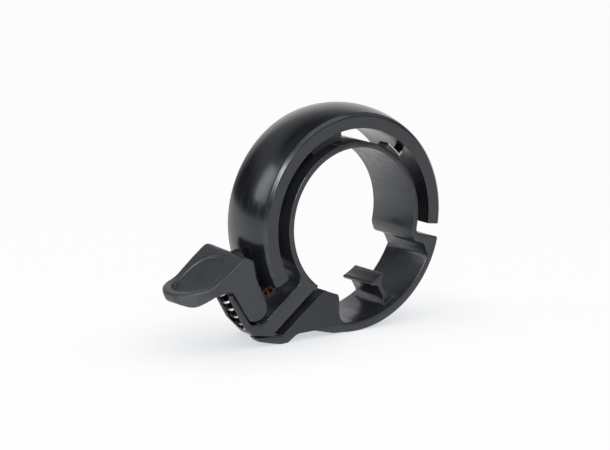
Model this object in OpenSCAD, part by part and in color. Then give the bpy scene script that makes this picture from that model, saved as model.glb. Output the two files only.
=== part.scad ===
// Ring-shaped bicycle bell: a bell hoop carried by a split handlebar bracket, with a sprung thumb lever.
// The bar runs along Y through the origin, +Z is up, and the lever's thumb pad points to -X.

/* [Bracket] */
// Diameter of the handlebar in the clamp
bar_d = 31.8; // [28:0.1:33]
// Wall of the inner hoop that lies on the bar
hoop_wall = 1.25; // [1:0.05:1.5]
// Width of the bracket along the bar
bracket_w = 14.4; // [13:0.1:16]
// Free height of the cable channel under the bar
channel_h = 6.2; // [5.6:0.1:6.6]
// Wall of the outer band at its right end
band_wall = 1.15; // [1:0.05:1.4]
// Extra wall of the outer band at the bottom
band_drop = 0.7; // [0.4:0.05:0.9]
// Width of the bar rest's top
rest_w = 4.0; // [3.4:0.1:4.6]
// Length of the bar rest along the bar
rest_len = 10.0; // [8:0.5:12]
// Depth of the spring nose behind the front face
nose_depth = 6.0; // [5.6:0.1:6.4]
// Thickness of the nose's front wall
nose_wall = 0.9; // [0.8:0.05:1.1]

/* [Bell] */
// Radial gap between the bracket's hoop and the bell
ring_gap = 2.86; // [2.6:0.05:3.2]
// Wall of the bell at its flat faces
ring_wall = 2.67; // [2.4:0.05:2.9]
// Size of the bell's edge chamfers
ring_chamfer = 0.68; // [0.5:0.02:0.8]
// Height of the bell's crowned outside over its chamfers
ring_crown = 1.15; // [0.8:0.05:1.4]
// Angle at which the bell starts, right of the bar
ring_start = -8.4; // [-10:0.2:-6]
// Angle at which the bell ends, lower left
ring_end = 210.5; // [206:0.5:212]
// Width of the saddle that the bell is screwed to
saddle_w = 8.4; // [7:0.1:9]
// Width of the rest under the bell's right side
rest_pad_w = 3.6; // [3.2:0.1:4.4]
// Thickness of the steel clip on that rest
clip_t = 0.3; // [0.25:0.05:0.4]

/* [Lever] */
// Turning point of the lever, left of the bar's centre
pivot_x = 30.0; // [29.5:0.1:30.4]
// Turning point of the lever, below the bar's centre
pivot_z = 10.5; // [10.2:0.1:10.8]
// Diameter of the hinge pin
pin_d = 1.6; // [1.4:0.05:1.8]
// Depth of the thumb dish
dish_depth = 0.7; // [0.4:0.05:0.9]
// Diameter of the striker's head
striker_d = 4.0; // [3.8:0.1:4.4]
// Gap between the striker and the bell at rest
strike_gap = 0.5; // [0.3:0.02:0.6]

/* [Spring] */
// Wire of the return spring
wire_d = 0.5; // [0.4:0.02:0.6]
// Outside diameter of the return spring
spring_d = 2.6; // [2.3:0.05:2.8]
// Installed length of the return spring
spring_len = 12.2; // [11.8:0.1:12.4]
// Number of turns of the return spring
spring_turns = 5.0; // [4:0.1:6]

/* [Bell screw] */
// Thread diameter of the screw that holds the bell
bell_screw_d = 2.5; // [2:0.1:3]
// Head diameter of the screw that holds the bell
bell_head_d = 4.2; // [3.8:0.1:4.6]
// Head height of the screw that holds the bell
bell_head_h = 0.9; // [0.8:0.05:0.95]
// Depth of that screw in the bell's wall
bell_bite = 1.6; // [1.4:0.1:1.8]

/* [Clamp screw] */
// Thread diameter of the clamp screw
screw_d = 2.0; // [1.8:0.1:2.4]
// Head diameter of the clamp screw
screw_head_d = 3.8; // [3.6:0.1:4.2]
// Head height of the clamp screw
screw_head_h = 1.8; // [1.5:0.1:2]
// Length of the clamp screw under its head
screw_len = 7.0; // [6.6:0.1:7.4]
// Diameter of the brass insert nut
nut_d = 3.6; // [3.4:0.1:4]
// Length of the brass insert nut
nut_h = 2.4; // [2:0.1:2.6]

/* [Hidden] */
$fn = 96;

// Clearances
run_fit = 0.05;
seat_fit = 0.02;
part_gap = 0.3;
free_gap = 0.4;
eps = 0.01;

// Overrun of small cuts past a face, and length of cuts that leave the part
over = 1;
cut_out = 20;

// Places along the bar
front_y = -bracket_w / 2;
back_y = bracket_w / 2;
nose_back_y = front_y + nose_depth;
tongue_depth = 3.0;
rest_pad_y = [front_y + 3.0, front_y + 3.0 + rest_pad_w];
clip_inset = 0.25;

// The clamp corner's outlines are laid out for this bar radius, and move out with a larger bar
layout_r = 15.9;
corner_dir = [-0.8, -0.6];
corner_shift = (bar_d / 2 - layout_r) * corner_dir;

// Radii round the bar
bar_r = bar_d / 2;
hoop_r = bar_r + hoop_wall;
band_in_r = bar_r + channel_h;
band_r = band_in_r + band_wall;
ring_in_r = hoop_r + ring_gap;
ring_face_r = ring_in_r + ring_wall;
ring_edge_r = ring_face_r + ring_chamfer;
ring_out_r = ring_edge_r + ring_crown;

// Angles round the bar
shoulder_a = -15.3;
lip_a = -11;
band_end_a = -97;
hoop_end_a = 233;
rest_a = -61;
saddle_a = [94, 120];
saddle_mid_a = (saddle_a[0] + saddle_a[1]) / 2;
rest_pad_a = [39.6, 53];
clip_hook_a = 1.6;
rest_pad_h = 1.6;
clip_r = hoop_r + rest_pad_h;

// Split clamp: the slot and the screw that crosses it
slot_a = 37;
screw_top = [-17.6, -14.04] + corner_shift;
nut_t = 2.5;
head_seat_t = 8.0;
screw_dir = [sin(slot_a), -cos(slot_a)];

// Return spring: its lower seat and the way it points
spring_foot = [-26.5, -19.5] + corner_shift;
spring_a = 127.7;
spring_y = front_y + 2.5;
spring_mean_r = (spring_d - wire_d) / 2;
guide_fit = 0.15;
guide_d = spring_d - 2 * wire_d - 2 * guide_fit;
guide_len = 9.6;
bay_y = [front_y + nose_wall, front_y + nose_wall + spring_d + 2 * free_gap];

// Hinge of the lever
pivot = [-pivot_x, -pivot_z] + corner_shift;
lug_r = 1.9;
lug_w = 3.4;
lug_y = [nose_back_y + part_gap, nose_back_y + part_gap + lug_w];
cheek_back = 0.5;
pin_cover = 1.0;
pin_y = [front_y + 2.2, back_y - cheek_back - pin_cover];

// Depth of the bell screw's head under the hoop's inside
bell_head_sink = 0.25;

// Hexagon sockets of the two screws
bell_key_d = 1.7;
bell_key_h = 0.7;
screw_key_d = 1.75;
screw_key_h = 1.0;

// Striker
striker_a = 193;
striker_tip_r = ring_out_r + strike_gap;
striker_head_len = 2.6;
striker_stem_d = 2.2;
striker_len = 4.0;

// Pad of the lever: its top from the tip over the bend to the ridge, and its plan
pad_tip = [-43.1, -10.9];
pad_bend = [-36.8, -9.7];
pad_ridge = [-28.4, -3.6];
bend_r = 6.0;
ridge_r = 1.7;
pad_start = -35.5;
dish_mid = -35.6;
dish_half = [5.6, 5.2];

// Points of an arc round the origin
function arc(r, a0, a1, n) =
    [for (i = [0 : n]) let (a = a0 + (a1 - a0) * i / n) r * [cos(a), sin(a)]];

function unit(v) = v / norm(v);
function xy(p) = [p[0], p[1]];
function turn(a0, a1) = let (d = a1 - a0) d > 180 ? d - 360 : d < -180 ? d + 360 : d;

// Points of a corner at b, rounded with radius r between the edges to a and c
function corner(a, b, c, r, n = 6) =
    let (u = unit(a - b), w = unit(c - b), half = acos(u * w) / 2,
         centre = b + unit(u + w) * r / sin(half),
         p0 = b + u * r / tan(half) - centre, p1 = b + w * r / tan(half) - centre,
         a0 = atan2(p0[1], p0[0]), sweep = turn(a0, atan2(p1[1], p1[0])))
    [for (i = [0 : n]) centre + r * [cos(a0 + sweep * i / n), sin(a0 + sweep * i / n)]];

// An outline of [x, z, radius] points with its corners rounded
function rounded(pts) =
    let (n = len(pts))
    [for (i = [0 : n - 1])
        each (pts[i][2] > 0
            ? corner(xy(pts[(i + n - 1) % n]), xy(pts[i]), xy(pts[(i + 1) % n]), pts[i][2])
            : [xy(pts[i])])];

// Outline points of the clamp corner, moved with the bar's size
function placed(pts) = [for (p = pts) [p[0] + corner_shift[0], p[1] + corner_shift[1], p[2]]];
function with_r(p, r) = [p[0], p[1], r];

// A front-view outline made solid between two places along the bar
module slab(y0, y1) {
    translate([0, y1, 0]) rotate([90, 0, 0]) linear_extrude(y1 - y0) children();
}

// A cylinder along the bar's direction
module rod(p, r, y0, y1) {
    slab(y0, y1) translate(p) circle(r);
}

// Part of a flat ring round the bar, with its outside moved down by a drop
module ring_sector(r0, r1, a0, a1, drop = 0) {
    reach = 2 * r1;
    intersection() {
        difference() {
            translate([0, -drop]) circle(r1);
            circle(r0);
        }
        polygon(concat([[0, 0]], arc(reach, a0, a1, 12)));
    }
}

// Children on the screw's axis, with their +Z along the way from head to nut
module on_screw(t) {
    translate([screw_top[0] + screw_dir[0] * t, 0, screw_top[1] + screw_dir[1] * t])
        rotate([0, -slot_a, 0]) children();
}

// Children on a line out of the bar's centre, with their +Z outwards
module on_spoke(a, r) {
    rotate([0, 90 - a, 0]) translate([0, 0, r]) children();
}

// Children on the spring's axis, with their +Z from the nose to the lever
module on_spring(s) {
    translate([spring_foot[0], spring_y, spring_foot[1]])
        rotate([0, 90 - spring_a, 0]) translate([0, 0, s]) children();
}

// Rest under the bar: a flanged post that stands on the outer band
module bar_rest_2d() {
    half = rest_w / 2;
    web = 0.6;
    foot = 1.7;
    side = [[bar_r - 0.5, half, 0], [bar_r + 0.5, half, 0], [bar_r + 1.5, web, 0.9],
            [band_in_r - 1.6, web, 1.2], [band_in_r + 0.3, foot, 0]];
    other = [for (i = [len(side) - 1 : -1 : 0]) [side[i][0], -side[i][1], side[i][2]]];
    rotate(rest_a) polygon(rounded(concat(side, other)));
}

// Outer radius of the band at an angle
function band_out(a) = -band_drop * sin(a) + sqrt(pow(band_r, 2) - pow(band_drop * cos(a), 2));

// Shoulder that joins the hoop's right end, with its rounded lip, to the outer band
module shoulder_2d() {
    top_end = band_out(shoulder_a) * [cos(shoulder_a), sin(shoulder_a)];
    lip_top = (bar_r - eps) * [cos(lip_a), sin(lip_a)];
    lip_end = lip_top + 1.25 * [sin(lip_a), -cos(lip_a)];
    polygon(rounded([[bar_r + 0.3, -2, 0], [hoop_r - 0.1, -2, 0], [hoop_r - 0.5, -4.55, 1.0],
                     with_r(top_end, 0.4), [band_r - 2.2, -10.2, 0], [band_in_r - 2.2, -9.75, 0],
                     [band_in_r - 3.3, -7.3, 1.4], [bar_r + 0.2, -6.3, 1.2], with_r(lip_end, 3.0),
                     with_r(lip_top, 0)]));
}

// Lower jaw of the split clamp
module lower_jaw_2d() {
    jaw_x = -4.0 + corner_shift[0];
    polygon(rounded(concat(
        [[0.5, -band_in_r, 0], [jaw_x, -band_in_r + 0.1, 2.8]],
        placed([[-4.0, -14.4, 2.5], [-7.9, -13.9, 0.3], [-18.9, -22.1, 1.0], [-20.6, -22.1, 0],
                [-18.9, -23.95, 0], [-17.5, -23.9, 1.5], [-15.0, -22.35, 2.5], [-10.6, -22.3, 3.0],
                [-5.5, -23.6, 4.0]]),
        [[0.5, -band_r - band_drop, 0]])));
}

// Thin tongue of the lower jaw, under the nose
module jaw_tongue_2d() {
    polygon(rounded(placed([[-18.5, -22.5, 0], [-18.9, -22.1, 0], [-20.6, -22.05, 1.0], [-23.2, -21.95, 3],
                            [-27.6, -21.45, 0], [-27.2, -22.05, 0], [-22.0, -23.4, 4], [-19.4, -23.95, 1.5],
                            [-17.9, -23.92, 0]])));
}

// Upper jaw of the split clamp, from the hoop's end to the root of the nose
module upper_jaw_2d() {
    polygon(rounded(placed([[-10.15, -12.9, 0.3], [-20.6, -21.05, 0.8], [-23.3, -18.4, 0.8],
                            [-14.6, -11.7, 1.4], [-14.0, -9.6, 0], [-12.4, -10.2, 0]])));
}

// Nose that holds the spring: the bottom of the V and the wall that stops the lever's arm
module nose_2d() {
    polygon(rounded(placed([[-19.6, -20.3, 0], [-20.6, -21.05, 1.0], [-23.2, -21.55, 3.0],
                            [-27.37, -21.06, 0], [-32.75, -11.65, 0.3], [-31.65, -11.65, 0.3],
                            [-27.1, -18.75, 1.2], [-24.2, -18.9, 2.0], [-22.0, -18.2, 0]])));
}

// Everything outside the nose's lower left flank, which leans in towards the back
module nose_flank() {
    flank = [-28.05, -19.58] + corner_shift;
    flank_a = 135;
    lean = 5;
    translate([flank[0], front_y, flank[1]]) rotate([0, -flank_a, 0]) rotate([-lean, 0, 0])
        translate([-12, -1, 0]) cube([24, nose_depth + 4, 8]);
}

// Bay for the spring, open to the left and above
module spring_bay_2d() {
    polygon([for (p = placed([[-36, -8], [-24.5, -8], [-24.5, -17.2], [-27.5, -23], [-36, -23]])) xy(p)]);
}

// Lug behind the arm that carries the hinge pin
module hinge_lug_2d() {
    difference() {
        union() {
            translate(pivot) circle(lug_r);
            polygon(rounded(concat([[pivot[0] + 1.0, pivot[1] + 1.6, 0]],
                                   placed([[-20.6, -16.6, 0.5], [-21.6, -19.4, 0.5], [-23.6, -18.3, 1.0]]),
                                   [[pivot[0] - 0.9, pivot[1] - 1.65, 0]])));
        }
        translate(pivot) circle(pin_d / 2 + seat_fit);
    }
}

module clamp_bracket() {
    color([0.13, 0.13, 0.14])
    difference() {
        union() {
            slab(front_y, back_y) {
                ring_sector(bar_r - eps, hoop_r, lip_a, hoop_end_a);
                ring_sector(band_in_r, band_r, band_end_a, shoulder_a - 1, band_drop);
                shoulder_2d();
                lower_jaw_2d();
                upper_jaw_2d();
            }
            slab(-rest_len / 2, rest_len / 2) bar_rest_2d();
            difference() {
                union() {
                    slab(front_y, nose_back_y) nose_2d();
                    slab(front_y, front_y + tongue_depth) jaw_tongue_2d();
                }
                // Spring bay, with its floor square to the spring
                difference() {
                    slab(bay_y[0], bay_y[1]) spring_bay_2d();
                    on_spring(-16) translate([-16, -16, 0]) cube([32, 32, 16]);
                }
                nose_flank();
            }
            slab(lug_y[0], lug_y[1]) hinge_lug_2d();
            // Guide post inside the spring
            on_spring(-over) cylinder(d = guide_d, h = guide_len + over);
        }
        rod([0, 0], bar_r, front_y - over, back_y + over);
        // Screw hole, head recess and nut pocket
        on_screw(head_seat_t + cut_out / 2) cylinder(d = screw_d + free_gap, h = cut_out);
        on_screw(head_seat_t + cut_out / 2) cylinder(d = screw_head_d + free_gap, h = cut_out / 2);
        on_screw(nut_t) cylinder(d = nut_d + 2 * seat_fit, h = nut_h + cut_out / 4);
        // Countersunk hole for the bell screw
        bell_screw_hole();
    }
}

// Hole and countersink through the hoop at the saddle
module bell_screw_hole() {
    on_spoke(saddle_mid_a, bar_r + bell_head_sink) {
        cylinder(d = bell_screw_d + 2 * seat_fit, h = hoop_wall + over);
        cylinder(d1 = bell_head_d + 2 * seat_fit, d2 = bell_screw_d + 2 * seat_fit, h = bell_head_h);
        translate([0, 0, -over]) cylinder(d = bell_head_d + 2 * seat_fit, h = over);
    }
}

module bell_ring() {
    half = bracket_w / 2;
    flat = half - ring_chamfer;
    steps = 12;
    crown = [for (i = [0 : steps]) let (a = flat * (1 - 2 * i / steps))
                [ring_edge_r + ring_crown * (1 - pow(a / flat, 2)), a]];
    color([0.1, 0.1, 0.11])
    difference() {
        rotate([90, 0, 0]) rotate(ring_start) rotate_extrude(angle = ring_end - ring_start)
            polygon(concat([[ring_in_r, -half], [ring_in_r, half], [ring_face_r, half]], crown,
                           [[ring_face_r, -half]]));
        on_spoke(saddle_mid_a, ring_in_r - over)
            cylinder(d = bell_screw_d + 2 * seat_fit, h = over + bell_bite + part_gap);
    }
}

module ring_saddle() {
    color([0.16, 0.16, 0.17])
    difference() {
        slab(-saddle_w / 2, saddle_w / 2) ring_sector(hoop_r, ring_in_r, saddle_a[0], saddle_a[1]);
        on_spoke(saddle_mid_a, hoop_r - over)
            cylinder(d = bell_screw_d + 2 * seat_fit, h = ring_gap + 2 * over);
    }
}

module bell_screw() {
    color("silver")
    on_spoke(saddle_mid_a, bar_r + bell_head_sink) difference() {
        union() {
            cylinder(d1 = bell_head_d, d2 = bell_screw_d, h = bell_head_h);
            cylinder(d = bell_screw_d, h = hoop_wall - bell_head_sink + ring_gap + bell_bite);
        }
        translate([0, 0, -over]) cylinder(d = bell_key_d, h = over + bell_key_h, $fn = 6);
    }
}

module ring_rest() {
    color([0.08, 0.08, 0.08])
    slab(rest_pad_y[0], rest_pad_y[1])
        ring_sector(hoop_r, clip_r, rest_pad_a[0], rest_pad_a[1]);
}

// Steel spring clip on the rest, with its end turned up against the bell
module ring_clip() {
    color("silver")
    slab(rest_pad_y[0] + clip_inset, rest_pad_y[1] - clip_inset) {
        ring_sector(clip_r, clip_r + clip_t, rest_pad_a[0], rest_pad_a[1]);
        ring_sector(clip_r, ring_in_r, rest_pad_a[0], rest_pad_a[0] + clip_hook_a);
    }
}

// Side view of the pad with its ridge, without the arm
module pad_side_2d() {
    polygon(rounded(placed([with_r(pad_ridge, ridge_r), [-26.3, -4.7, 1.0], [-25.7, -8.6, 1.0],
                            [-27.4, -10.9, 0.8], [-32.6, -10.9, 0.8], [-36.0, -11.6, 3.0],
                            [-40.5, -13.5, 3.0], [-42.8, -12.6, 1.0], with_r(pad_tip, 0.5),
                            with_r(pad_bend, bend_r)])));
}

// Plan of the pad behind its round end
module pad_plan_2d() {
    translate([pad_start + corner_shift[0], front_y]) square([cut_out, bracket_w]);
}

// Round end of the pad, upright above and drawn in underneath like a spoon
module pad_end() {
    half = bracket_w / 2;
    reach = pad_start - pad_tip[0];
    low = pad_tip[1] + corner_shift[1] - 0.9;
    drawn_in = 1.6;
    depth = 2.4;
    steps = 8;
    side = [for (i = [0 : steps]) let (a = 80 * i / steps)
                [half - drawn_in * (1 - cos(a)), low - depth * sin(a)]];
    translate([pad_start + corner_shift[0], 0, 0]) scale([reach / half, 1, 1])
        rotate_extrude() polygon(concat([[0, low - depth], [0, low + cut_out], [half, low + cut_out]], side));
}

// Plan of the thumb dish
module dish_plan_2d() {
    steps = 40;
    translate([corner_shift[0], 0])
        polygon([for (i = [1 : steps]) let (a = 360 * i / steps)
                    [dish_mid + dish_half[0] * cos(a), dish_half[1] * sin(a)]]);
}

// Side view of the room over the pad's top
module dish_side_2d() {
    far_tip = pad_bend + 2 * (pad_tip - pad_bend);
    high = pad_ridge[1] + cut_out;
    polygon(rounded(placed([with_r(far_tip, 0), with_r(pad_bend, bend_r), with_r(pad_ridge, 0),
                            [pad_ridge[0], high, 0], [far_tip[0], high, 0]])));
}

// Arm of the lever, which hangs beside the nose's wall
module arm_2d() {
    polygon(rounded(placed([with_r(pad_ridge, ridge_r), [-26.3, -4.7, 1.0], [-25.7, -8.6, 4.0],
                            [-22.9, -15.0, 1.2], [-23.2, -18.05, 2.5], [-27.2, -18.05, 1.0],
                            [-31.6, -11.1, 0.5], [-33.6, -10.9, 0], [-33.6, -7.6, 0]])));
}

// Cheek that carries the far end of the hinge pin
module hinge_cheek_2d() {
    translate(pivot) circle(lug_r);
    translate(pivot) translate([-lug_r, 0]) square([2 * lug_r, lug_r]);
}

module thumb_lever() {
    room = lug_r + free_gap;
    color([0.15, 0.15, 0.16])
    difference() {
        union() {
            intersection() {
                slab(front_y, back_y) pad_side_2d();
                union() {
                    translate([0, 0, -2 * cut_out]) linear_extrude(4 * cut_out) pad_plan_2d();
                    pad_end();
                }
            }
            slab(front_y, nose_back_y) arm_2d();
            // Rear cheek of the hinge
            slab(lug_y[1] + part_gap, back_y - cheek_back) hinge_cheek_2d();
        }
        // Thumb dish, a pocket that follows the slope of the pad
        intersection() {
            translate([0, 0, -2 * cut_out]) linear_extrude(4 * cut_out) dish_plan_2d();
            slab(front_y, back_y) translate([0, -dish_depth]) dish_side_2d();
        }
        // Slot for the hinge lug
        slab(lug_y[0] - part_gap, lug_y[1] + part_gap) {
            translate(pivot) circle(lug_r + free_gap);
            translate(pivot) polygon([[-room, 0], [0, room], [3 * room, room], [3 * room, -2 * room],
                                      [-room, -2 * room]]);
        }
        // Socket and groove for the spring
        on_spring(-over) cylinder(d = spring_d + 2 * free_gap, h = spring_len + over + seat_fit);
        // Blind hole for the hinge pin
        rod(pivot, pin_d / 2 + run_fit, pin_y[0] - run_fit, pin_y[1] + run_fit);
        striker_solid(seat_fit);
    }
}

module hinge_pin() {
    color("silver") rod(pivot, pin_d / 2, pin_y[0], pin_y[1]);
}

// Striker: a round head on a stem, grown by a fit for its own hole
module striker_solid(fit) {
    on_spoke(striker_a, striker_tip_r) {
        round_r = 0.8;
        r = striker_d / 2;
        rotate_extrude() polygon(concat([[0, 0]], [for (i = [0 : 6]) let (a = -90 + 15 * i)
            [r - round_r + (round_r + fit) * cos(a), round_r + round_r * sin(a)]],
            [[r + fit, striker_head_len + fit], [striker_stem_d / 2 + fit, striker_head_len + fit],
             [striker_stem_d / 2 + fit, striker_len + fit], [0, striker_len + fit]]));
    }
}

module striker() {
    color([0.2, 0.18, 0.19]) striker_solid(0);
}

// Points of the spring's left-hand wire, in its own frame with the axis along Z
rings_per_turn = 8;
spring_rings = round(spring_turns * rings_per_turn);
spring_phase = 295;
function wire_point(i) =
    let (a = spring_phase - 360 * spring_turns * i / spring_rings)
    [spring_mean_r * cos(a), spring_mean_r * sin(a),
     wire_d * 1.5 + (spring_len - 3 * wire_d) * i / spring_rings];
function end_point(z, i) = [wire_point(i)[0], wire_point(i)[1], z];
wire_path = concat([end_point(0, 0)], [for (i = [0 : spring_rings]) wire_point(i)],
                   [end_point(spring_len, spring_rings)]);
function path_way(i) = unit(
    (i == len(wire_path) - 1 ? wire_path[i] : wire_path[i + 1]) - (i == 0 ? wire_path[i] : wire_path[i - 1]));
function wire_ring(i) =
    let (p = wire_path[i], out = unit([p[0], p[1], 0]), lift = unit(cross(path_way(i), out)))
    [for (k = [0 : 5]) p + wire_d / 2 * (cos(60 * k) * out + sin(60 * k) * lift)];

module return_spring() {
    count = len(wire_path);
    points = [for (i = [0 : count - 1]) each wire_ring(i)];
    sides = [for (i = [0 : count - 2]) for (k = [0 : 5])
        let (a = 6 * i + k, b = 6 * i + (k + 1) % 6)
        each [[a, b + 6, b], [a, a + 6, b + 6]]];
    caps = concat([for (k = [1 : 4]) [0, k, k + 1]],
                  [for (k = [1 : 4]) let (o = 6 * (count - 1)) [o, o + k + 1, o + k]]);
    color([0.85, 0.85, 0.82]) on_spring(0) polyhedron(points, concat(sides, caps));
}

// Least distance between wires of neighbouring turns, printed as a check
spring_gap = min([for (i = [1 : spring_rings + 1]) for (k = [i + rings_per_turn / 2 : spring_rings + 1])
    norm(wire_path[i] - wire_path[k])]) - wire_d;
echo(least_spring_gap = spring_gap);

module clamp_screw() {
    color([0.3, 0.3, 0.3])
    on_screw(head_seat_t) difference() {
        union() {
            cylinder(d = screw_d, h = screw_len);
            translate([0, 0, -screw_head_h]) cylinder(d = screw_head_d, h = screw_head_h);
        }
        translate([0, 0, -screw_head_h - over]) cylinder(d = screw_key_d, h = over + screw_key_h, $fn = 6);
    }
}

module clamp_nut() {
    color([0.75, 0.58, 0.28])
    on_screw(nut_t) difference() {
        cylinder(d = nut_d, h = nut_h);
        translate([0, 0, -over]) cylinder(d = screw_d + 2 * seat_fit, h = nut_h + 2 * over);
    }
}

clamp_bracket();
bell_ring();
ring_saddle();
bell_screw();
ring_rest();
ring_clip();
thumb_lever();
hinge_pin();
striker();
return_spring();
clamp_screw();
clamp_nut();
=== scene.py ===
"""Ring-shaped bicycle bell: fine pieces, finishes, stage, light and camera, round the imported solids."""
import math

import bmesh
import bpy
from mathutils import Matrix, Vector


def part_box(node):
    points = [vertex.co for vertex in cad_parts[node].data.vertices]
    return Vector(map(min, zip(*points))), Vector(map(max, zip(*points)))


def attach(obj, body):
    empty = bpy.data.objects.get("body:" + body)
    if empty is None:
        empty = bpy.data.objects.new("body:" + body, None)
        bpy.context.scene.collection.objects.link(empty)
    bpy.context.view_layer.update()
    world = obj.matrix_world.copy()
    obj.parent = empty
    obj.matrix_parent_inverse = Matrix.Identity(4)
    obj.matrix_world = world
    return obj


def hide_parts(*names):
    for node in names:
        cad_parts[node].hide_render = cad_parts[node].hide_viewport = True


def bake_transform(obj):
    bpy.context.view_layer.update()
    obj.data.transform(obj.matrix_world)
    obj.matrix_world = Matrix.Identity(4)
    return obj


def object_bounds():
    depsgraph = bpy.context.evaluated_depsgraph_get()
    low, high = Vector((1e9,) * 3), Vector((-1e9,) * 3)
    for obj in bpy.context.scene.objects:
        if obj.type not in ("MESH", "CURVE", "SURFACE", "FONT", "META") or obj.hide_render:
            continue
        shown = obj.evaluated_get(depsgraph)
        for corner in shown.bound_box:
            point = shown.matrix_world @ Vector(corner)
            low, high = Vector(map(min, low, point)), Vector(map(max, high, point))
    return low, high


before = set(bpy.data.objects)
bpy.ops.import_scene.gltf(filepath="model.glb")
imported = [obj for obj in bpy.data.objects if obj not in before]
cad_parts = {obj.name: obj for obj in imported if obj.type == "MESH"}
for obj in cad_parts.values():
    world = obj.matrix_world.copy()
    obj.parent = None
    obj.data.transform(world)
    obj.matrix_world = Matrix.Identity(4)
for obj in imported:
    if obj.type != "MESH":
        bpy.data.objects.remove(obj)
cad_low, cad_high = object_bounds()

MM = 0.001

# Picture and camera: the photograph's own view of the bell
PICTURE_WIDTH = 610
CAMERA_AZIMUTH = math.radians(-36.35)
CAMERA_ELEVATION = math.radians(12.17)
CAMERA_DISTANCE = 700 * MM
FOCAL_PIXELS = 3298.8
AIM_RIGHT = 10.60 * MM
AIM_UP = 0.71 * MM
SENSOR = 36.0

# Studio sky: a bright backdrop behind the bell and a panel over it, each with the way to its middle and
# the cosines at which it sets in and is full, and the dim walls by height, with a dark ceiling
BACKDROP_WAY = (0.58, 0.80, 0.10)
BACKDROP_EDGE = (0.7, 0.95)
PANEL_WAY = (0.16, -0.38, 0.91)
PANEL_EDGE = (0.86, 0.96)
WALL_HEIGHTS = (0.3, 0.6)
WALL_LEVELS = (0.03, 0.38)
CEILING_HEIGHTS = (0.7, 0.85)
CEILING_SHARES = (1.0, 0.1)

# Soft boxes aimed at the bell: place, size and power
SOFT_BOXES = {
    "front_box": ((-0.35, -0.55, 0.35), (0.3, 0.3), 4.6),
    "left_box": ((-0.63, 0.32, 0.36), (0.26, 0.4), 1.0),
}

# White floor: how much of what is seen of it glows, and the painted shade that darkens the glow close to
# the bell
FLOOR_SIZE = 6
FLOOR_GLOW = 0.95
FLOOR_SHADE = (0.6, 0.62, 0.66)
SHADE_REACH = 25 * MM
BLACK = (0, 0, 0)
WHITE = (1, 1, 1)

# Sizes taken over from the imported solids
bracket_low, bracket_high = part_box("clamp_bracket")
FRONT_Y = bracket_low.y
HALF_WIDTH = bracket_high.y
FLOOR_Z = cad_low.z

# Bell hoop, as radii round the bar and angles from +X
BELL_INNER = 20.01 * MM
BELL_FACE = 22.68 * MM
BELL_EDGE = 23.36 * MM
BELL_CROWN = 1.15 * MM
BELL_CHAMFER = 0.68 * MM
BELL_START = math.radians(-8.4)
BELL_SWEEP = math.radians(218.9)
BELL_SOFT = 0.16 * MM
CROWN_STEPS = 18
HOOP_STEPS = 180

# Return spring: its foot, the way it points and its left-hand winding, with closed end turns that lie
# CLOSE_LAY wires apart. SPRING_SIDE points to the lever's arm, and the last way back into the bay, both
# square to the spring; along these two ways painted shade darkens the wire.
SPRING_FOOT = Vector((-26.5 * MM, FRONT_Y + 2.5 * MM, -19.5 * MM))
SPRING_ANGLE = math.radians(127.7)
SPRING_LENGTH = 12.2 * MM
SPRING_MEAN = 1.05 * MM
WIRE = 0.5 * MM
SPRING_TURNS = 5.0
END_TURNS = 0.75
CLOSE_LAY = 1.06
WIRE_SIDES = 12
STEPS_PER_COIL = 36
SPRING_PHASE = math.radians(318)
SPRING_WAY = Vector((math.cos(SPRING_ANGLE), 0, math.sin(SPRING_ANGLE)))
SPRING_SIDE = Vector((math.sin(SPRING_ANGLE), 0, -math.cos(SPRING_ANGLE)))
WIRE_SHADE_WAY = Vector((-0.277, 0.937, -0.214))

# Painted shade round the spring: its reach from the axis, how far behind the front face it sets in, and
# where it darkens the wire, counted from the axis into the bay and towards the arm, with the black of the
# bay and the dark brown of the wire
BAY_SHADE_REACH = (2.8 * MM, 3.4 * MM)
BAY_SHADE_SETS_IN = (0.2 * MM, 0.5 * MM)
WIRE_SHADE_DEPTH = (-0.5 * MM, 0.2 * MM)
WIRE_SHADE_SIDE = (0.2 * MM, 0.6 * MM)
BAY_SHADE_BLACK = (0.002, 0.002, 0.002)
WIRE_SHADE_BROWN = (0.03, 0.027, 0.022)

# Lever: the grid its mesh is rebuilt on, the rounds of smoothing, and the bend in the pad's top with the
# slope on either side of it
LEVER_GRID = 0.18 * MM
LEVER_ROUNDS = 5
PAD_BEND = Vector((-36.8 * MM, 0, -9.7 * MM))
PAD_FALL = 0.19
PAD_RISE = 0.726

# The pad's round end is drawn in towards its middle by a share that grows with the square of the depth
# below the rim, and its underside drops a little
PAD_MIDDLE = -35.5 * MM
PAD_FADE = 3 * MM
SPOON_DRAW = 0.027 / MM ** 2
SPOON_DEPTH = 2.4 * MM
SPOON_DROP = 0.5 * MM

# The dish is shallower towards the back and deeper at its outer end
DISH_MIDDLE = -35.6 * MM
DISH_HALF = (5.6 * MM, 5.2 * MM)
DISH_EDGE = (1.1, 0.8)
DISH_FLOOR = (1.9 * MM, 1.4 * MM)
DISH_BACK = (-3 * MM, 5 * MM)
DISH_OUTER = (-37 * MM, -40 * MM)
DISH_LIFT = 0.45 * MM
DISH_SINK = 0.45 * MM

# The ridge rises towards the back
RIDGE_TILT = 0.05
RIDGE_HEIGHTS = (-9.5 * MM, -5.5 * MM)

# Clamp screw: a point on its axis, the way from head to tip, and its thread
SCREW_ANGLE = math.radians(37)
SCREW_TOP = Vector((-17.6 * MM, 0, -14.04 * MM))
SCREW_UP = Vector((-math.sin(SCREW_ANGLE), 0, math.cos(SCREW_ANGLE)))
HEAD_SEAT = 8.0 * MM
SCREW_LENGTH = 7.0 * MM
SCREW_RADIUS = 1.0 * MM
THREAD_PITCH = 0.4 * MM
THREAD_RIDGE = 0.2 * MM
THREAD_END = 0.3 * MM
THREAD_SUNK = 0.02 * MM
STEPS_PER_THREAD = 24

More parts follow.
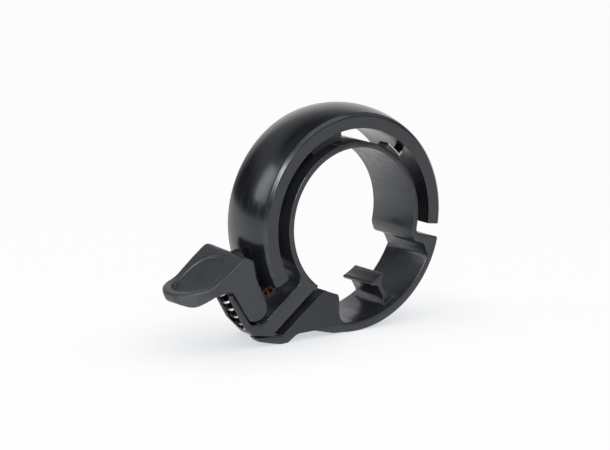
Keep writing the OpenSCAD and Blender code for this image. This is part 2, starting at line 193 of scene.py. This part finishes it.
# Brass insert nut: its place below the jaw, its size and the share that its knurl leaves in the grooves
NUT_DEPTH = 2.5 * MM
NUT_LENGTH = 2.4 * MM
NUT_RADIUS = 1.8 * MM
NUT_PLAY = 0.03 * MM
NUT_SOFT = 0.1 * MM
NUT_SIDES = 48
KNURL = 0.95

# Copies of solids: corners closer than WELD are joined, edges shorter than SLIVER go, and faces that
# bend by less than FLAT_ANGLE degrees become one
WELD = 0.01 * MM
SLIVER = 0.001 * MM
FLAT_ANGLE = 1

# Edges sharper than an angle in degrees are rounded in a few steps
SHARP_ANGLE = 35
EDGE_STEPS = 3

# Gloss of all finishes, a little blue
GLOSS_TINT = (0.92, 0.96, 1, 1)
GLOSS_LEVEL = 0.68

# Marks on the surfaces: noise scales in patches per metre, the span that most of a noise lies in, the
# depth of scratches, and the angle from +X of the middle of the turning marks, opposite their seam
GRAIN_SCALE = 3600.0
CLOUD_SCALE = 260.0
RUB_AND_SHEEN_SCALE = 420.0
SCRATCH_SCALE = 1800.0
NOISE_SPAN = (0.3, 0.7)
SCRATCH_DEPTH = 0.004 * MM
STREAK_MIDDLE = math.radians(70)

# Rubbed edges, partly painted lighter as a highlight: how far the surface faces the front or the back
# where this lighter edge sets in and where it ends
RUB_AND_SHEEN_SETS_IN = (0.2, 0.5)
RUB_AND_SHEEN_ENDS = (0.8, 0.97)


def new_material(name):
    """A fresh material with its node tree and its shader."""
    material = bpy.data.materials.new(name)
    material.use_nodes = True
    tree = material.node_tree
    shader = tree.nodes["Principled BSDF"]
    shader.inputs["Specular Tint"].default_value = GLOSS_TINT
    shader.inputs["Specular IOR Level"].default_value = GLOSS_LEVEL
    return material, tree, shader


def add_node(tree, kind, **values):
    """A node of one kind, with its properties set."""
    node = tree.nodes.new(kind)
    for key, value in values.items():
        setattr(node, key, value)
    return node


def feed(tree, socket, source):
    """Link a socket to a node's output, or set it to a plain value."""
    if isinstance(source, bpy.types.NodeSocket):
        tree.links.new(source, socket)
    else:
        socket.default_value = source


def math_node(tree, operation, *sources):
    """One operation on numbers or on the outputs of nodes."""
    node = add_node(tree, "ShaderNodeMath", operation=operation)
    for socket, source in zip(node.inputs, sources):
        feed(tree, socket, source)
    return node.outputs[0]


def dot(tree, vector, direction):
    """How far a vector reaches in a direction."""
    node = add_node(tree, "ShaderNodeVectorMath", operation="DOT_PRODUCT")
    feed(tree, node.inputs[0], vector)
    feed(tree, node.inputs[1], direction)
    return node.outputs["Value"]


def remap(tree, value, low, high, out_low=0.0, out_high=1.0):
    """Smooth step of a value between two limits."""
    node = add_node(tree, "ShaderNodeMapRange", interpolation_type="SMOOTHSTEP")
    for socket, source in zip(node.inputs, (value, low, high, out_low, out_high)):
        feed(tree, socket, source)
    return node.outputs["Result"]


def noise(tree, vector, scale, detail=3.0, roughness=0.55):
    """Cloudy noise from 0 to 1, with a scale in patches per metre."""
    node = add_node(tree, "ShaderNodeTexNoise")
    feed(tree, node.inputs["Vector"], vector)
    node.inputs["Scale"].default_value = scale
    node.inputs["Detail"].default_value = detail
    node.inputs["Roughness"].default_value = roughness
    return node.outputs["Fac"]


def mix_colour(tree, factor, first, second):
    """A colour between two others."""
    node = add_node(tree, "ShaderNodeMix", data_type="RGBA")
    feed(tree, node.inputs["Factor"], factor)
    for key, colour in (("A", first), ("B", second)):
        socket = [s for s in node.inputs if s.name == key and s.type == "RGBA"][0]
        feed(tree, socket, (*colour, 1) if isinstance(colour, tuple) else colour)
    return [s for s in node.outputs if s.type == "RGBA"][0]


def bump(tree, height, distance, normal=None):
    """A normal that follows a height map, on top of another normal if one is given."""
    node = add_node(tree, "ShaderNodeBump")
    node.inputs["Distance"].default_value = distance
    node.inputs["Strength"].default_value = 1.0
    feed(tree, node.inputs["Height"], height)
    if normal is not None:
        feed(tree, node.inputs["Normal"], normal)
    return node.outputs["Normal"]


def new_group(name, inputs, outputs):
    """An empty node group with named sockets."""
    group = bpy.data.node_groups.new(name, "ShaderNodeTree")
    for socket_name, kind in inputs:
        group.interface.new_socket(name=socket_name, in_out="INPUT", socket_type="NodeSocket" + kind)
    for socket_name, kind in outputs:
        group.interface.new_socket(name=socket_name, in_out="OUTPUT", socket_type="NodeSocket" + kind)
    return group, group.nodes.new("NodeGroupInput"), group.nodes.new("NodeGroupOutput")


def place_group(tree, group, **sources):
    """A node group in a tree, with its inputs fed by name."""
    node = add_node(tree, "ShaderNodeGroup", node_tree=group)
    for key, source in sources.items():
        feed(tree, node.inputs[key], source)
    return node


def make_turned_streaks():
    """Fine streaks round the bar, as a lathe or a brush leaves them, with their seam below the bar."""
    group, given, result = new_group("turned_streaks", [("Position", "Vector"), ("Length", "Float"),
                                                        ("Fineness", "Float")], [("Streaks", "Float")])
    position = given.outputs["Position"]
    across = dot(group, position, (math.cos(STREAK_MIDDLE), 0, math.sin(STREAK_MIDDLE)))
    along = dot(group, position, (-math.sin(STREAK_MIDDLE), 0, math.cos(STREAK_MIDDLE)))
    width = dot(group, position, (0, 1, 0))
    angle = math_node(group, "ARCTAN2", along, across)
    squares = math_node(group, "ADD", math_node(group, "MULTIPLY", across, across),
                        math_node(group, "MULTIPLY", along, along))
    radius = math_node(group, "SQRT", squares)
    joined = add_node(group, "ShaderNodeCombineXYZ")
    feed(group, joined.inputs[0], math_node(group, "MULTIPLY", angle, given.outputs["Length"]))
    feed(group, joined.inputs[1], math_node(group, "MULTIPLY", radius, given.outputs["Fineness"]))
    feed(group, joined.inputs[2], math_node(group, "MULTIPLY", width, given.outputs["Fineness"]))
    feed(group, result.inputs["Streaks"], noise(group, joined.outputs[0], 1.0, 4.0, 0.6))
    return group


def make_moulded_grain():
    """Fine grain and broad cloudiness of a moulded surface."""
    group, given, result = new_group("moulded_grain", [("Position", "Vector")],
                                     [("Grain", "Float"), ("Clouds", "Float")])
    feed(group, result.inputs["Grain"], noise(group, given.outputs["Position"], GRAIN_SCALE, 2.0))
    feed(group, result.inputs["Clouds"], noise(group, given.outputs["Position"], CLOUD_SCALE, 3.0))
    return group


def make_rubbed_and_sheened_edges():
    """Rubbed places, partly a painted highlight, lighter on the rounded edges between the end faces and
    the outline.
    """
    group, given, result = new_group("edge_rub_and_sheen", [("Position", "Vector"), ("Normal", "Vector")],
                                     [("Rub_and_sheen", "Float")])
    slope = math_node(group, "ABSOLUTE", dot(group, given.outputs["Normal"], (0, 1, 0)))
    # Lighter rounded edges: partly rubbed wear, partly a painted highlight
    edge = math_node(group, "MULTIPLY", remap(group, slope, *RUB_AND_SHEEN_SETS_IN),
                     remap(group, slope, *RUB_AND_SHEEN_ENDS, 1.0, 0.0))
    rubbing_and_sheen = noise(group, given.outputs["Position"], RUB_AND_SHEEN_SCALE, 3.0)
    patches = remap(group, rubbing_and_sheen, 0.3, 0.75, 0.35, 1.0)
    feed(group, result.inputs["Rub_and_sheen"], math_node(group, "MULTIPLY", edge, patches))
    return group


def make_painted_bay_shade():
    """Painted shade in the bay round the return spring, behind the front face."""
    group, given, result = new_group("bay_painted_shade", [("Position", "Vector")], [("Bay", "Float")])
    offset = add_node(group, "ShaderNodeVectorMath", operation="SUBTRACT")
    feed(group, offset.inputs[0], given.outputs["Position"])
    feed(group, offset.inputs[1], SPRING_FOOT)
    along = dot(group, offset.outputs["Vector"], SPRING_WAY)
    reach = dot(group, offset.outputs["Vector"], offset.outputs["Vector"])
    beside = math_node(group, "SUBTRACT", reach, math_node(group, "MULTIPLY", along, along))
    depth = dot(group, given.outputs["Position"], (0, 1, 0))
    inside = remap(group, depth, FRONT_Y + BAY_SHADE_SETS_IN[0], FRONT_Y + BAY_SHADE_SETS_IN[1])
    near = remap(group, math_node(group, "SQRT", beside), *BAY_SHADE_REACH, 1.0, 0.0)
    feed(group, result.inputs["Bay"], math_node(group, "MULTIPLY", inside, near))
    return group


TURNED_STREAKS = make_turned_streaks()
MOULDED_GRAIN = make_moulded_grain()
RUBBED_AND_SHEENED_EDGES = make_rubbed_and_sheened_edges()
PAINTED_BAY_SHADE = make_painted_bay_shade()


def surface_inputs(tree):
    """Object coordinates and the surface normal."""
    position = add_node(tree, "ShaderNodeTexCoord").outputs["Object"]
    normal = add_node(tree, "ShaderNodeNewGeometry").outputs["Normal"]
    return position, normal


def turned_metal(name, dark, light, worn_and_sheen, metallic, roughness, streak_height):
    """Metal with turning marks round the bar, and rubbed edges partly painted lighter as a highlight."""
    material, tree, shader = new_material(name)
    position, normal = surface_inputs(tree)
    streaks = place_group(tree, TURNED_STREAKS, Position=position, Length=2.6,
                          Fineness=3200.0).outputs["Streaks"]
    rub_and_sheen_mask = place_group(tree, RUBBED_AND_SHEENED_EDGES, Position=position, Normal=normal).outputs["Rub_and_sheen"]
    band = remap(tree, streaks, *NOISE_SPAN)
    colour = mix_colour(tree, rub_and_sheen_mask, mix_colour(tree, band, dark, light), worn_and_sheen)
    feed(tree, shader.inputs["Base Color"], colour)
    feed(tree, shader.inputs["Roughness"], remap(tree, streaks, *NOISE_SPAN, *roughness))
    shader.inputs["Metallic"].default_value = metallic
    feed(tree, shader.inputs["Normal"], bump(tree, streaks, streak_height))
    return material


def moulded_nylon(name, dark, light, worn_and_sheen, roughness, grain_height, streak_height=0.0, shaded_bay=False):
    """Moulded nylon with fine grain, slight clouds, edges rubbed and painted lighter as highlights, and
    painted shade in the spring's bay.
    """
    material, tree, shader = new_material(name)
    position, normal = surface_inputs(tree)
    surface = place_group(tree, MOULDED_GRAIN, Position=position)
    grain = surface.outputs["Grain"]
    clouds = surface.outputs["Clouds"]
    rub_and_sheen_mask = place_group(tree, RUBBED_AND_SHEENED_EDGES, Position=position, Normal=normal).outputs["Rub_and_sheen"]
    speckled = mix_colour(tree, remap(tree, grain, *NOISE_SPAN), dark, light)
    colour = mix_colour(tree, remap(tree, clouds, *NOISE_SPAN), speckled, light)
    colour = mix_colour(tree, rub_and_sheen_mask, colour, worn_and_sheen)
    # Painted shade: the bay round the spring goes black and metallic, so that it also loses its
    # reflections
    if shaded_bay:
        shade_mask = place_group(tree, PAINTED_BAY_SHADE, Position=position).outputs["Bay"]
        colour = mix_colour(tree, shade_mask, colour, BAY_SHADE_BLACK)
        feed(tree, shader.inputs["Metallic"], shade_mask)
    feed(tree, shader.inputs["Base Color"], colour)
    feed(tree, shader.inputs["Roughness"], remap(tree, clouds, 0.25, 0.75, *roughness))
    relief = bump(tree, grain, grain_height)
    if streak_height:
        streaks = place_group(tree, TURNED_STREAKS, Position=position, Length=1.2,
                              Fineness=2600.0).outputs["Streaks"]
        relief = bump(tree, streaks, streak_height, relief)
    feed(tree, shader.inputs["Normal"], relief)
    return material


def past_spring(tree, position, way, limits):
    """Smooth step of how far a place lies from the spring's axis in one way."""
    start = SPRING_FOOT.dot(way)
    return remap(tree, dot(tree, position, way), start + limits[0], start + limits[1])


def plain_metal(name, dark, light, roughness, metallic=1.0, shaded_bay=False, cut=None):
    """Small metal parts with fine scratches and painted shade deep in the bay, bright where they are cut.
    """
    material, tree, shader = new_material(name)
    position, normal = surface_inputs(tree)
    scratches = noise(tree, position, SCRATCH_SCALE, 4.0, 0.7)
    colour = mix_colour(tree, remap(tree, scratches, 0.35, 0.65), dark, light)
    # Painted shade: the wire darkens deep in the bay and towards the arm
    if shaded_bay:
        shade_mask = math_node(tree, "MAXIMUM", past_spring(tree, position, WIRE_SHADE_WAY, WIRE_SHADE_DEPTH),
                           past_spring(tree, position, SPRING_SIDE, WIRE_SHADE_SIDE))
        colour = mix_colour(tree, shade_mask, colour, WIRE_SHADE_BROWN)
    if cut:
        front = math_node(tree, "ABSOLUTE", dot(tree, normal, (0, 1, 0)))
        colour = mix_colour(tree, remap(tree, front, 0.3, 0.8), colour, cut)
    feed(tree, shader.inputs["Base Color"], colour)
    feed(tree, shader.inputs["Roughness"], remap(tree, scratches, *NOISE_SPAN, *roughness))
    shader.inputs["Metallic"].default_value = metallic
    feed(tree, shader.inputs["Normal"], bump(tree, scratches, SCRATCH_DEPTH))
    return material


FINISHES = {
    "bell_alloy": turned_metal("bell_alloy", (0.005, 0.0054, 0.0068), (0.012, 0.013, 0.016),
                               worn_and_sheen=(0.03, 0.032, 0.037), metallic=0.0, roughness=(0.15, 0.27),
                               streak_height=0.005 * MM),
    "bracket_nylon": moulded_nylon("bracket_nylon", (0.007, 0.0077, 0.0098), (0.015, 0.0165, 0.0205),
                                   worn_and_sheen=(0.04, 0.043, 0.05), roughness=(0.23, 0.38),
                                   grain_height=0.006 * MM, streak_height=0.0025 * MM, shaded_bay=True),
    "lever_nylon": moulded_nylon("lever_nylon", (0.009, 0.01, 0.0128), (0.028, 0.0305, 0.037),
                                 worn_and_sheen=(0.065, 0.07, 0.08), roughness=(0.38, 0.52),
                                 grain_height=0.022 * MM),
    "support_rubber": moulded_nylon("support_rubber", (0.024, 0.026, 0.029), (0.046, 0.049, 0.055),
                                    worn_and_sheen=(0.06, 0.063, 0.068), roughness=(0.35, 0.5),
                                    grain_height=0.010 * MM),
    "plain_steel": plain_metal("plain_steel", (0.5, 0.49, 0.47), (0.72, 0.71, 0.69),
                               roughness=(0.22, 0.38)),
    "clip_steel": plain_metal("clip_steel", (0.05, 0.048, 0.045), (0.12, 0.115, 0.105),
                              roughness=(0.3, 0.42), metallic=0.8, cut=(0.85, 0.8, 0.7)),
    "spring_steel": plain_metal("spring_steel", (0.7, 0.66, 0.58), (0.88, 0.85, 0.77),
                                roughness=(0.3, 0.42), metallic=0.4, shaded_bay=True),
    "striker_steel": plain_metal("striker_steel", (0.03, 0.027, 0.028), (0.07, 0.062, 0.062),
                                 roughness=(0.28, 0.42), metallic=0.7),
    "nut_brass": plain_metal("nut_brass", (0.24, 0.14, 0.06), (0.42, 0.28, 0.14),
                             roughness=(0.3, 0.45)),
}


def finish_piece(mesh_edit, name, finish, body, nodes):
    """Make a piece of a mesh, with its finish, and set it on its body in place of its solids."""
    mesh = bpy.data.meshes.new(name)
    mesh_edit.to_mesh(mesh)
    mesh_edit.free()
    for polygon in mesh.polygons:
        polygon.use_smooth = True
    piece = bpy.data.objects.new(name, mesh)
    bpy.context.scene.collection.objects.link(piece)
    mesh.materials.append(FINISHES[finish])
    if nodes:
        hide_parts(*nodes)
    if body:
        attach(piece, body)
    return piece


def soften_edges(piece, width, angle=SHARP_ANGLE):
    """Round the edges of a piece that are sharper than an angle."""
    edge = piece.modifiers.new("soft_edges", "BEVEL")
    edge.width = width
    edge.segments = EDGE_STEPS
    edge.limit_method = "ANGLE"
    edge.angle_limit = math.radians(angle)
    edge.use_clamp_overlap = False
    edge.harden_normals = True


def joined_solid(node, merge):
    """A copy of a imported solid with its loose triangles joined."""
    mesh_edit = bmesh.new()
    mesh_edit.from_mesh(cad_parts[node].data)
    bmesh.ops.remove_doubles(mesh_edit, verts=mesh_edit.verts, dist=merge)
    return mesh_edit


def softened_node(node, name, finish, body, width, merge=WELD, angle=SHARP_ANGLE):
    """A copy of a solid with its flat faces joined and its edges rounded."""
    mesh_edit = joined_solid(node, merge)
    bmesh.ops.dissolve_degenerate(mesh_edit, edges=mesh_edit.edges, dist=SLIVER)
    bmesh.ops.dissolve_limit(mesh_edit, angle_limit=math.radians(FLAT_ANGLE), verts=mesh_edit.verts,
                             edges=mesh_edit.edges)
    piece = finish_piece(mesh_edit, name, finish, body, [node])
    soften_edges(piece, width, angle)


def rebuild_fine(mesh_edit, grid, rounds):
    """Rebuild a mesh on a fine grid and smooth it, so that all its edges turn round."""
    rough = bpy.data.objects.new("rough_shape", bpy.data.meshes.new("rough_shape"))
    mesh_edit.to_mesh(rough.data)
    mesh_edit.free()
    bpy.context.scene.collection.objects.link(rough)
    rebuilt = rough.modifiers.new("fine_grid", "REMESH")
    rebuilt.mode = "VOXEL"
    rebuilt.voxel_size = grid
    fine = bmesh.new()
    fine.from_object(rough, bpy.context.evaluated_depsgraph_get())
    bpy.data.meshes.remove(rough.data)
    for _ in range(rounds):
        bmesh.ops.smooth_vert(fine, verts=fine.verts, factor=0.5, use_axis_x=True, use_axis_y=True,
                              use_axis_z=True)
    return fine


def smooth_share(value, low, high):
    """How far a value is from a first limit to a second one, eased at both ends."""
    share = min(max((value - low) / (high - low), 0), 1)
    return share * share * (3 - 2 * share)


def dish_shift(place, below_top):
    """How far the floor of the thumb dish moves up at a place that lies some way below the pad's top."""
    off_middle = ((place.x - DISH_MIDDLE) / DISH_HALF[0]) ** 2 + (place.y / DISH_HALF[1]) ** 2
    in_dish = smooth_share(off_middle, *DISH_EDGE) * smooth_share(below_top, *DISH_FLOOR)
    outer = smooth_share(place.x, *DISH_OUTER)
    lift = DISH_LIFT * smooth_share(place.y, *DISH_BACK) * (1 - outer)
    return in_dish * (lift - DISH_SINK * outer)


def shape_lever(place):
    """The place of a point of the lever after its pad, its dish and its ridge are shaped."""
    from_bend = place.x - PAD_BEND.x
    outer_top = PAD_BEND.z + from_bend * PAD_FALL
    inner_top = PAD_BEND.z + from_bend * PAD_RISE
    depth = max(outer_top - place.z, 0)
    at_end = smooth_share(PAD_MIDDLE - place.x, 0, PAD_FADE)
    draw_in = 1 - at_end * SPOON_DRAW * min(depth, SPOON_DEPTH) ** 2
    lift = RIDGE_TILT * place.y * smooth_share(place.z, *RIDGE_HEIGHTS)
    lift -= at_end * SPOON_DROP * smooth_share(depth, 0, SPOON_DEPTH)
    lift += dish_shift(place, max(outer_top, inner_top) - place.z)
    return Vector((PAD_MIDDLE + (place.x - PAD_MIDDLE) * draw_in, place.y * draw_in, place.z + lift))


def build_lever():
    """The lever with soft edges, a spoon-shaped pad and a ridge that rises towards the back."""
    mesh_edit = rebuild_fine(joined_solid("thumb_lever", WELD), LEVER_GRID, LEVER_ROUNDS)
    for vert in mesh_edit.verts:
        vert.co = shape_lever(vert.co)
    finish_piece(mesh_edit, "thumb_pad_lever", "lever_nylon", "lever", ["thumb_lever"])


def spin_on(mesh_edit, edges, axis, angle, steps, rise=0.0):
    """Sweep edges round an axis through the origin and give back the last ones."""
    verts = list({v for e in edges for v in e.verts})
    swept = bmesh.ops.spin(mesh_edit, geom=verts + list(edges), cent=(0, 0, 0), axis=axis,
                           dvec=Vector(axis) * (rise / steps), angle=angle, steps=steps)
    return [g for g in swept["geom_last"] if isinstance(g, bmesh.types.BMEdge)]


def close_up(mesh_edit):
    """Merge doubles, fill open ends and turn all faces outwards."""
    bmesh.ops.remove_doubles(mesh_edit, verts=mesh_edit.verts, dist=0.0005 * MM)
    rim = [e for e in mesh_edit.edges if len(e.link_faces) == 1]
    if rim:
        bmesh.ops.holes_fill(mesh_edit, edges=rim, sides=0)
    bmesh.ops.recalc_face_normals(mesh_edit, faces=mesh_edit.faces)


def turn_by(mesh_edit, angle, axis):
    """Turn a whole mesh round one of the main axes."""
    bmesh.ops.rotate(mesh_edit, verts=mesh_edit.verts, cent=(0, 0, 0),
                     matrix=Matrix.Rotation(angle, 3, axis))


def build_bell():
    """The hoop: a crowned, chamfered profile spun part of the way round the bar."""
    mesh_edit = bmesh.new()
    flat = HALF_WIDTH - BELL_CHAMFER
    crown_radius = (flat ** 2 + BELL_CROWN ** 2) / (2 * BELL_CROWN)
    crown_centre = (BELL_EDGE + BELL_CROWN - crown_radius, 0, 0)
    first = mesh_edit.verts.new((BELL_EDGE, -flat, 0))
    swept = bmesh.ops.spin(mesh_edit, geom=[first], cent=crown_centre, axis=(0, 0, 1),
                           angle=2 * math.asin(flat / crown_radius), steps=CROWN_STEPS)
    last = [g for g in swept["geom_last"] if isinstance(g, bmesh.types.BMVert)][0]
    for radius, place in ((BELL_FACE, HALF_WIDTH), (BELL_INNER, HALF_WIDTH),
                          (BELL_INNER, -HALF_WIDTH), (BELL_FACE, -HALF_WIDTH)):
        following = mesh_edit.verts.new((radius, place, 0))
        mesh_edit.edges.new((last, following))
        last = following
    mesh_edit.edges.new((last, first))
    turn_by(mesh_edit, -BELL_START, "Y")
    spin_on(mesh_edit, mesh_edit.edges[:], (0, -1, 0), BELL_SWEEP, HOOP_STEPS)
    close_up(mesh_edit)
    piece = finish_piece(mesh_edit, "bell_hoop", "bell_alloy", "bracket", ["bell_ring"])
    soften_edges(piece, BELL_SOFT, angle=20)


def build_spring():
    """Return spring: a round wire wound in close end turns and open turns between."""
    mesh_edit = bmesh.new()
    bmesh.ops.create_circle(mesh_edit, segments=WIRE_SIDES, radius=WIRE / 2)
    turn_by(mesh_edit, math.pi / 2, "X")
    bmesh.ops.translate(mesh_edit, verts=mesh_edit.verts, vec=(SPRING_MEAN, 0, WIRE / 2))
    turn_by(mesh_edit, SPRING_PHASE, "Z")
    end_rise = END_TURNS * WIRE * CLOSE_LAY
    open_rise = SPRING_LENGTH - WIRE - 2 * end_rise
    edges = mesh_edit.edges[:]
    for turns, rise in ((END_TURNS, end_rise), (SPRING_TURNS, open_rise), (END_TURNS, end_rise)):
        edges = spin_on(mesh_edit, edges, (0, 0, 1), -turns * 2 * math.pi,
                        round(turns * STEPS_PER_COIL), rise)
    close_up(mesh_edit)
    turn_by(mesh_edit, math.pi / 2 - SPRING_ANGLE, "Y")
    bmesh.ops.translate(mesh_edit, verts=mesh_edit.verts, vec=SPRING_FOOT)
    piece = finish_piece(mesh_edit, "return_spring_wire", "spring_steel", None,
                         ["return_spring"])
    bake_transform(piece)


def on_screw(mesh_edit, depth):
    """Move a mesh from the Z axis to the clamp screw's axis, at a depth below the jaw."""
    turn_by(mesh_edit, -SCREW_ANGLE, "Y")
    bmesh.ops.translate(mesh_edit, verts=mesh_edit.verts, vec=SCREW_TOP - SCREW_UP * depth)


def build_thread():
    """Thread of the clamp screw: a ridge wound round its shank."""
    mesh_edit = bmesh.new()
    bmesh.ops.create_circle(mesh_edit, segments=3, radius=THREAD_RIDGE)
    turn_by(mesh_edit, -math.pi / 2, "Z")
    turn_by(mesh_edit, math.pi / 2, "X")
    bmesh.ops.translate(mesh_edit, verts=mesh_edit.verts,
                        vec=(SCREW_RADIUS - THREAD_SUNK, 0, THREAD_END))
    length = SCREW_LENGTH - 2 * THREAD_END
    turns = length / THREAD_PITCH
    spin_on(mesh_edit, mesh_edit.edges[:], (0, 0, 1), turns * 2 * math.pi,
            round(turns * STEPS_PER_THREAD), length)
    close_up(mesh_edit)
    on_screw(mesh_edit, HEAD_SEAT)
    finish_piece(mesh_edit, "clamp_screw_thread", "plain_steel", "bracket", [])


def build_insert_nut():
    """Brass insert nut: a knurled sleeve with a bore."""
    mesh_edit = bmesh.new()
    outer = bmesh.ops.create_circle(mesh_edit, segments=NUT_SIDES, radius=NUT_RADIUS)["verts"]
    bmesh.ops.scale(mesh_edit, verts=outer[::2], vec=(KNURL, KNURL, 1))
    bmesh.ops.create_circle(mesh_edit, segments=NUT_SIDES, radius=SCREW_RADIUS + NUT_PLAY)
    bmesh.ops.bridge_loops(mesh_edit, edges=mesh_edit.edges[:])
    raised = bmesh.ops.extrude_face_region(mesh_edit, geom=mesh_edit.faces[:], use_keep_orig=True)
    lifted = [g for g in raised["geom"] if isinstance(g, bmesh.types.BMVert)]
    bmesh.ops.translate(mesh_edit, verts=lifted, vec=(0, 0, NUT_LENGTH))
    close_up(mesh_edit)
    on_screw(mesh_edit, NUT_DEPTH)
    piece = finish_piece(mesh_edit, "insert_nut", "nut_brass", "bracket", ["clamp_nut"])
    soften_edges(piece, NUT_SOFT, angle=60)


def build_pieces():
    """All pieces: the bell, the spring, the screw's fine parts, the lever and the softened solids."""
    build_bell()
    build_spring()
    build_thread()
    build_insert_nut()
    build_lever()
    softened_node("clamp_bracket", "split_bracket", "bracket_nylon", "bracket",
                  0.2 * MM, merge=0.06 * MM, angle=55)
    for node, name, finish, body, slot, width in (
            ("ring_saddle", "bell_saddle", "support_rubber", "bracket", "support_rubber", 0.25 * MM),
            ("ring_rest", "bell_rest", "support_rubber", "bracket", "support_rubber", 0.25 * MM),
            ("ring_clip", "rest_clip", "clip_steel", "bracket", "plain_steel", 0.06 * MM),
            ("bell_screw", "bell_fixing_screw", "plain_steel", "bracket", "plain_steel", 0.08 * MM),
            ("clamp_screw", "clamp_cap_screw", "plain_steel", "bracket", "plain_steel", 0.12 * MM),
            ("hinge_pin", "lever_pin", "plain_steel", "bracket", "plain_steel", 0.1 * MM),
            ("striker", "striker_button", "striker_steel", "lever", "striker_steel", 0.12 * MM)):
        softened_node(node, name, finish, body, width)


def build_floor():
    """A white floor that glows where it is seen, with a painted shade in its glow close to the bell, and
    keeps a faint shadow.
    """
    bpy.ops.mesh.primitive_plane_add(size=FLOOR_SIZE, location=(0, 0, FLOOR_Z))
    floor = bpy.context.object
    floor.name = "floor"
    material, tree, shader = new_material("white_floor")
    shader.inputs["Base Color"].default_value = (0.8, 0.8, 0.8, 1)
    shader.inputs["Roughness"].default_value = 0.9
    shader.inputs["Specular IOR Level"].default_value = 0.0
    # Painted shade: ambient occlusion darkens the floor's glow near the bell
    painted_contact_shade = add_node(tree, "ShaderNodeAmbientOcclusion", samples=8)
    painted_contact_shade.inputs["Distance"].default_value = SHADE_REACH
    glow = add_node(tree, "ShaderNodeEmission")
    glow.inputs["Strength"].default_value = 1.0
    feed(tree, glow.inputs["Color"], mix_colour(tree, painted_contact_shade.outputs["AO"], FLOOR_SHADE, WHITE))
    path = add_node(tree, "ShaderNodeLightPath")
    mirrored = math_node(tree, "MAXIMUM", path.outputs["Is Glossy Ray"],
                         path.outputs["Is Transmission Ray"])
    seen = math_node(tree, "MAXIMUM", path.outputs["Is Camera Ray"], mirrored)
    share = add_node(tree, "ShaderNodeMixShader")
    feed(tree, share.inputs[0], math_node(tree, "MULTIPLY", seen, FLOOR_GLOW))
    feed(tree, share.inputs[1], shader.outputs[0])
    feed(tree, share.inputs[2], glow.outputs[0])
    feed(tree, tree.nodes["Material Output"].inputs["Surface"], share.outputs[0])
    floor.data.materials.append(material)


def build_sky():
    """A dim studio with a bright backdrop behind the bell and a bright panel over it."""
    world = bpy.context.scene.world or bpy.data.worlds.new("studio")
    bpy.context.scene.world = world
    world.use_nodes = True
    tree = world.node_tree
    background = tree.nodes["Background"]
    direction = add_node(tree, "ShaderNodeTexCoord").outputs["Generated"]
    height = dot(tree, direction, (0, 0, 1))
    walls = math_node(tree, "MULTIPLY", remap(tree, height, *WALL_HEIGHTS, *WALL_LEVELS),
                      remap(tree, height, *CEILING_HEIGHTS, *CEILING_SHARES))
    backdrop = remap(tree, dot(tree, direction, BACKDROP_WAY), *BACKDROP_EDGE)
    panel = remap(tree, dot(tree, direction, PANEL_WAY), *PANEL_EDGE)
    level = math_node(tree, "MAXIMUM", math_node(tree, "MAXIMUM", walls, backdrop), panel)
    feed(tree, background.inputs["Color"], mix_colour(tree, level, BLACK, WHITE))
    background.inputs["Strength"].default_value = 1.0


def build_lights():
    """The soft boxes, aimed at the bell."""
    for name, (place, size, power) in SOFT_BOXES.items():
        light = bpy.data.lights.new(name, "AREA")
        light.shape = "RECTANGLE"
        light.size, light.size_y = size
        light.energy = power
        lamp = bpy.data.objects.new(name, light)
        bpy.context.scene.collection.objects.link(lamp)
        lamp.location = place
        lamp.rotation_mode = "QUATERNION"
        lamp.rotation_quaternion = (-Vector(place)).to_track_quat("-Z", "Y")


def build_camera():
    """The camera at the photograph's viewing angle."""
    right = Vector((math.cos(CAMERA_AZIMUTH), math.sin(CAMERA_AZIMUTH), 0))
    back = Vector((math.sin(CAMERA_AZIMUTH) * math.cos(CAMERA_ELEVATION),
                   -math.cos(CAMERA_AZIMUTH) * math.cos(CAMERA_ELEVATION),
                   math.sin(CAMERA_ELEVATION)))
    up = back.cross(right)
    place = Vector((0, FRONT_Y, 0)) - AIM_RIGHT * right - AIM_UP * up + CAMERA_DISTANCE * back
    data = bpy.data.cameras.new("photo_camera")
    data.sensor_width = SENSOR
    data.lens = FOCAL_PIXELS * SENSOR / PICTURE_WIDTH
    data.clip_start = 0.01
    camera = bpy.data.objects.new("photo_camera", data)
    bpy.context.scene.collection.objects.link(camera)
    turn = Matrix((right, up, back)).transposed()
    camera.matrix_world = Matrix.Translation(place) @ turn.to_4x4()
    bpy.context.scene.camera = camera


build_pieces()
build_floor()
build_sky()
build_lights()
build_camera()

bpy.context.scene.view_settings.view_transform = "Standard"
